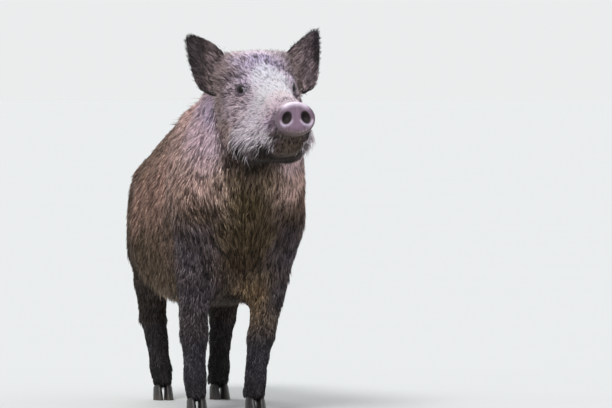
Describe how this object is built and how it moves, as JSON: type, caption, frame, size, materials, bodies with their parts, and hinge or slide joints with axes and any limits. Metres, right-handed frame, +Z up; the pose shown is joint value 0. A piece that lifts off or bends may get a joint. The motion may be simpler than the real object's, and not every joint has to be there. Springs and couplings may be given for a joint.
{
  "type": "wild boar",
  "caption": "Life-size model of a wild boar sow in a short grizzled coat of bristles, standing on all four feet with her head raised.",
  "frame": {"origin": "middle of the box the boar stands in, on the floor under her claws", "axes": "+Z up, -Y the way she faces, +X her left side, so the row's +Y runs from snout to rump"},
  "size_m": [0.339, 1.2944, 0.9008],
  "materials": {
    "body_coat": "coarse grey-brown bristle",
    "face_and_neck_coat": "frosted grey bristle",
    "jaw_coat": "dark hair with pale whiskers",
    "ear_coat": "short dark hair",
    "leg_coat": "short black hair",
    "snout_skin": "bare moist skin",
    "eye": "wet dark brown",
    "claw_horn": "dark horn"
  },
  "bodies": {
    "root": {"head": "face_and_neck_coat", "lower_jaw": "jaw_coat", "snout_disc": "snout_skin", "ear_left": "ear_coat", "ear_right": "ear_coat", "eye_left": "eye", "eye_right": "eye", "neck": "face_and_neck_coat", "trunk": "body_coat", "tail": "body_coat", "left_fore_inner_claw": "claw_horn", "left_fore_inner_dewclaw": "claw_horn", "left_fore_lower_leg": "leg_coat", "left_fore_outer_claw": "claw_horn", "left_fore_outer_dewclaw": "claw_horn", "left_fore_upper_leg": "leg_coat", "left_hind_inner_claw": "claw_horn", "left_hind_inner_dewclaw": "claw_horn", "left_hind_lower_leg": "leg_coat", "left_hind_outer_claw": "claw_horn", "left_hind_outer_dewclaw": "claw_horn", "left_hind_upper_leg": "leg_coat", "right_fore_inner_claw": "claw_horn", "right_fore_inner_dewclaw": "claw_horn", "right_fore_lower_leg": "leg_coat", "right_fore_outer_claw": "claw_horn", "right_fore_outer_dewclaw": "claw_horn", "right_fore_upper_leg": "leg_coat", "right_hind_inner_claw": "claw_horn", "right_hind_inner_dewclaw": "claw_horn", "right_hind_lower_leg": "leg_coat", "right_hind_outer_claw": "claw_horn", "right_hind_outer_dewclaw": "claw_horn", "right_hind_upper_leg": "leg_coat"}
  },
  "joints": []
}
